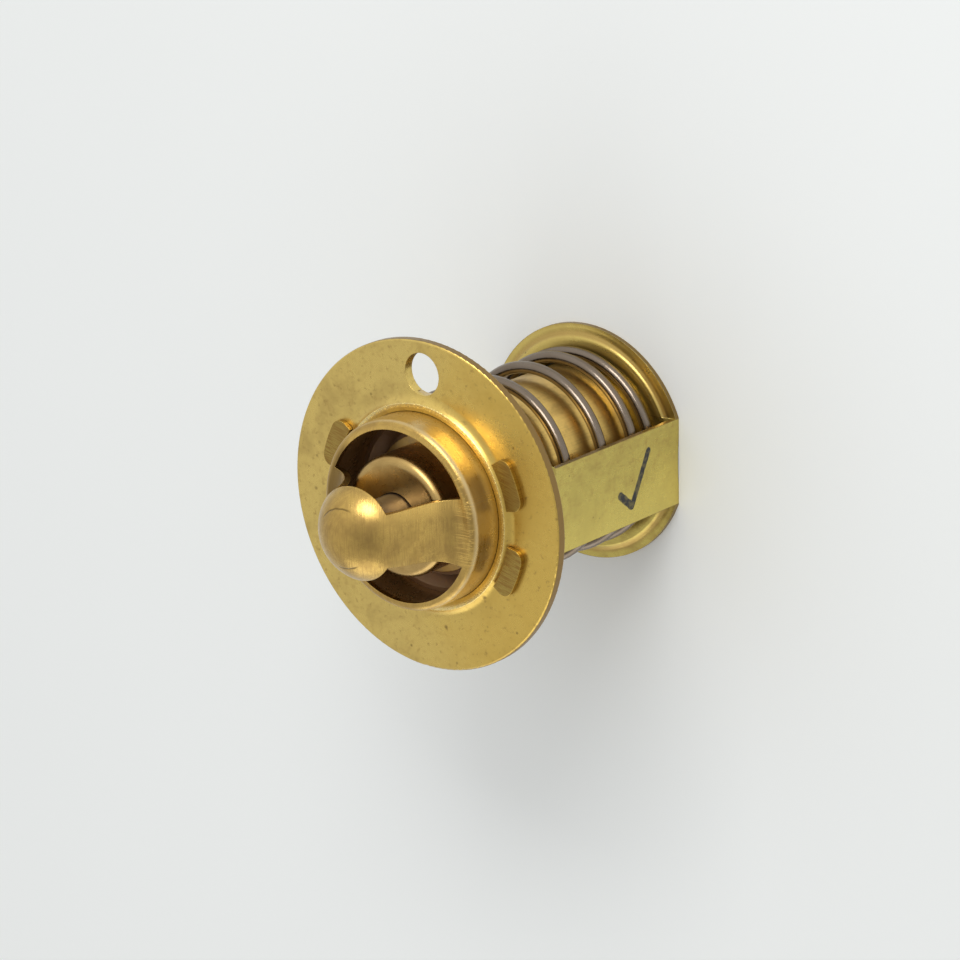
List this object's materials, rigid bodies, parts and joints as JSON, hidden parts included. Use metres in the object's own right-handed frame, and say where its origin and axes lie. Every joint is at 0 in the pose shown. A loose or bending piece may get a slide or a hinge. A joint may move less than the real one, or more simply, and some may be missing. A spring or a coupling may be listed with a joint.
{
  "type": "engine thermostat",
  "caption": "Flanged wax-pellet coolant valve: round seat plate with a bridged nose, a stirrup frame and a sprung valve that slides open along its axis.",
  "frame": {"origin": "middle of the foot ring's underside, where the part stands, on the valve's axis", "axes": "+Z along the valve's axis towards the nose, X through the two legs and the strap, +Y towards the vent hole"},
  "size_m": [0.044, 0.044, 0.0509],
  "materials": {
    "flange_brass": "satin",
    "bridge_brass": "satin",
    "frame_brass": "satin",
    "piston_steel": "ground",
    "spring_steel": "drawn",
    "turned_brass": "turned",
    "valve_brass": "satin",
    "capsule_brass": "drawn",
    "clip_steel": "satin",
    "washer_plastic": "matte",
    "boot_rubber": "matte",
    "wax": "matte"
  },
  "bodies": {
    "housing": {"seat_flange": "flange_brass", "bridge_cup": "bridge_brass", "lower_frame": "frame_brass", "nose_seat": "turned_brass", "piston": "piston_steel", "return_spring": "spring_steel"},
    "valve": {"valve_plate": "valve_brass", "retaining_clip": "clip_steel", "guide_body": "turned_brass", "seal_washer": "washer_plastic", "rubber_boot": "boot_rubber", "wax_charge": "wax", "wax_capsule": "capsule_brass"}
  },
  "joints": [
    {"name": "valve_lift", "type": "slide", "parent": "housing", "child": "valve", "axis": [0, 0, -1], "range_m": [0, 0.008], "stiffness_N_per_m": 285, "springref_m": -0.014, "deforming": ["return_spring"]}
  ]
}
